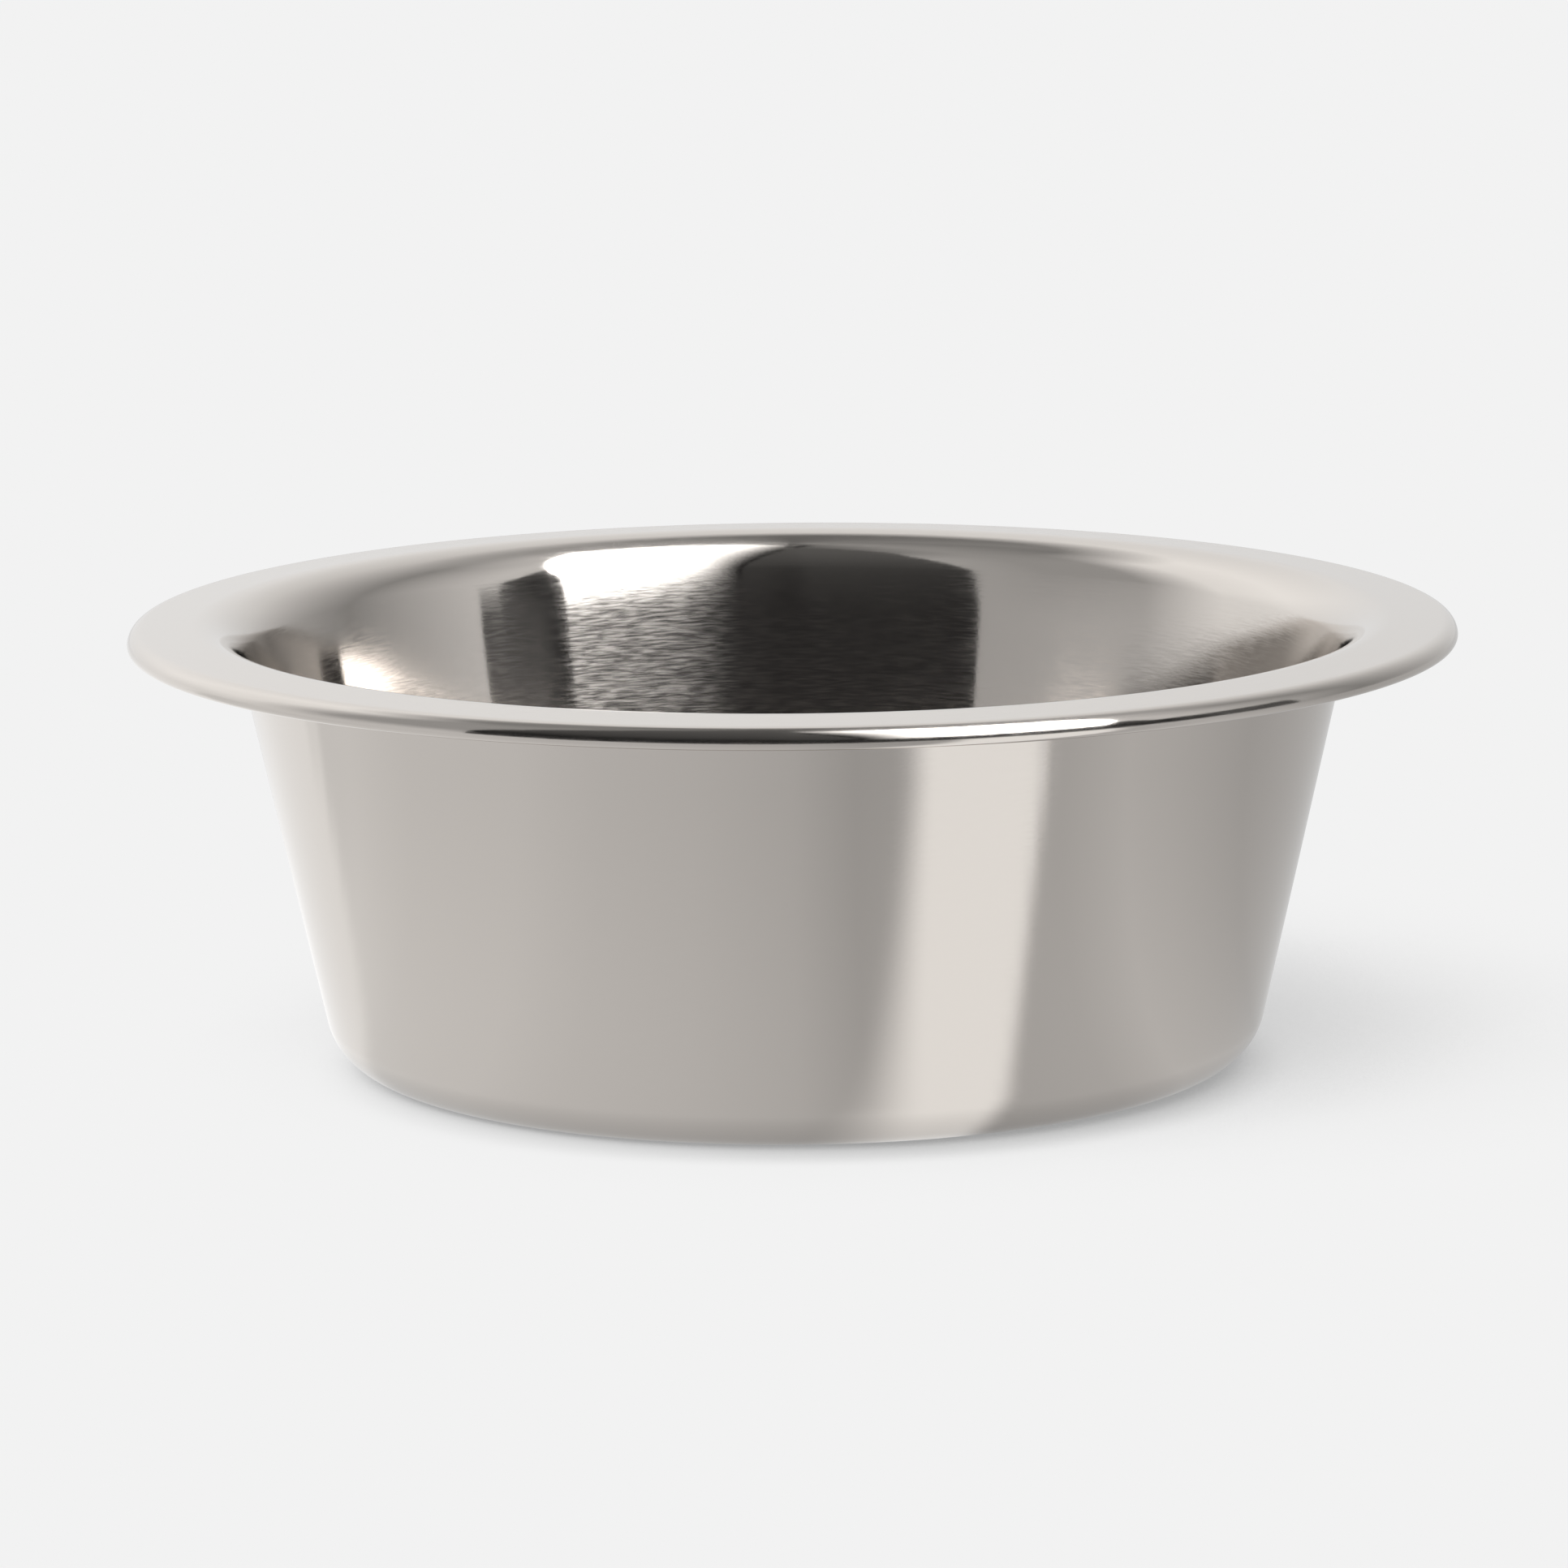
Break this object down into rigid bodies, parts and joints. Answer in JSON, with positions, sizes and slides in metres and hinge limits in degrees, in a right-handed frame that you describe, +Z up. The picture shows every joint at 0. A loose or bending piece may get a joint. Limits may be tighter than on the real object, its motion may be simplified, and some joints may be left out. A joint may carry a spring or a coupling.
{
  "type": "pet bowl",
  "caption": "Round metal pet bowl: straight tapered wall, wide flat rim with a rolled edge, rounded heel and flat base.",
  "frame": {"origin": "centre of the bowl's axis, on the ground plane that the base's standing ring rests on", "axes": "+Z up along the bowl's axis, through the open mouth; the bowl is round, so +X and +Y are any level directions"},
  "size_m": [0.21, 0.21, 0.071],
  "materials": {
    "stainless": "polished stainless steel with fine turned scratches"
  },
  "bodies": {
    "root": {"bowl": "stainless"}
  },
  "joints": []
}
